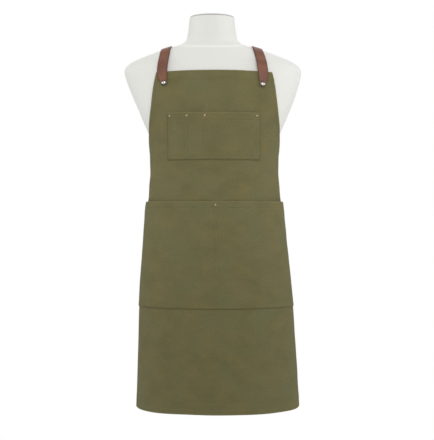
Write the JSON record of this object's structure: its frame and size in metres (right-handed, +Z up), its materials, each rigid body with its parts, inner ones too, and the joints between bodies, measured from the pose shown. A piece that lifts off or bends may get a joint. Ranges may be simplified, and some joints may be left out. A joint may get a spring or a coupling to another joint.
{
  "type": "bib apron on a dress form",
  "caption": "Canvas bib apron with chest and lap pockets and crossed leather straps, worn on a headless padded dress form.",
  "frame": {"origin": "middle of the underside of the form's base board", "axes": "+Z up along the form, -Y out of the front of the apron, +X to the right seen from the front"},
  "size_m": [0.459, 0.2554, 1.012],
  "materials": {
    "linen": "matte stretched jersey",
    "plywood": "sanded birch plywood",
    "canvas": "matte olive cotton canvas",
    "leather": "satin brown leather",
    "brass": "antique brass",
    "nickel": "polished nickel",
    "steel": "zinc plated"
  },
  "bodies": {
    "apron_and_form": {"base_board": "plywood", "board_screw_1": "steel", "board_screw_2": "steel", "board_screw_3": "steel", "board_screw_4": "steel", "buckle_frame_left": "nickel", "buckle_frame_right": "nickel", "canvas_panel": "canvas", "chest_pocket": "canvas", "chest_rivet_1": "brass", "chest_rivet_2": "brass", "chest_rivet_3": "brass", "chest_rivet_4": "brass", "form_torso": "linen", "lower_pocket": "canvas", "neck_cap": "linen", "pocket_rivet_centre": "brass", "pocket_rivet_left": "brass", "pocket_rivet_right": "brass", "side_tab_left": "leather", "side_tab_right": "leather", "strap_left": "leather", "strap_right": "leather", "strap_stud_left": "nickel", "strap_stud_right": "nickel", "tab_rivet_left": "brass", "tab_rivet_right": "brass"},
    "prong_left": {"buckle_prong_left": "nickel"},
    "keeper_left": {"strap_keeper_left": "leather"},
    "prong_right": {"buckle_prong_right": "nickel"},
    "keeper_right": {"strap_keeper_right": "leather"}
  },
  "joints": [
    {"name": "prong_lift_left", "type": "hinge", "parent": "apron_and_form", "child": "prong_left", "pos_m": [0.11122, 0.06643, 0.33941], "axis": [-0.5715, 0.3084, -0.7605], "range_deg": [0, 60]},
    {"name": "keeper_slide_left", "type": "slide", "parent": "apron_and_form", "child": "keeper_left", "axis": [0.6818, -0.386, -0.6214], "range_m": [-0.002, 0.004]},
    {"name": "prong_lift_right", "type": "hinge", "parent": "apron_and_form", "child": "prong_right", "pos_m": [-0.11122, 0.06643, 0.33941], "axis": [-0.5715, -0.3084, 0.7605], "range_deg": [0, 60]},
    {"name": "keeper_slide_right", "type": "slide", "parent": "apron_and_form", "child": "keeper_right", "axis": [-0.6664, -0.3934, -0.6334], "range_m": [-0.002, 0.004]}
  ]
}
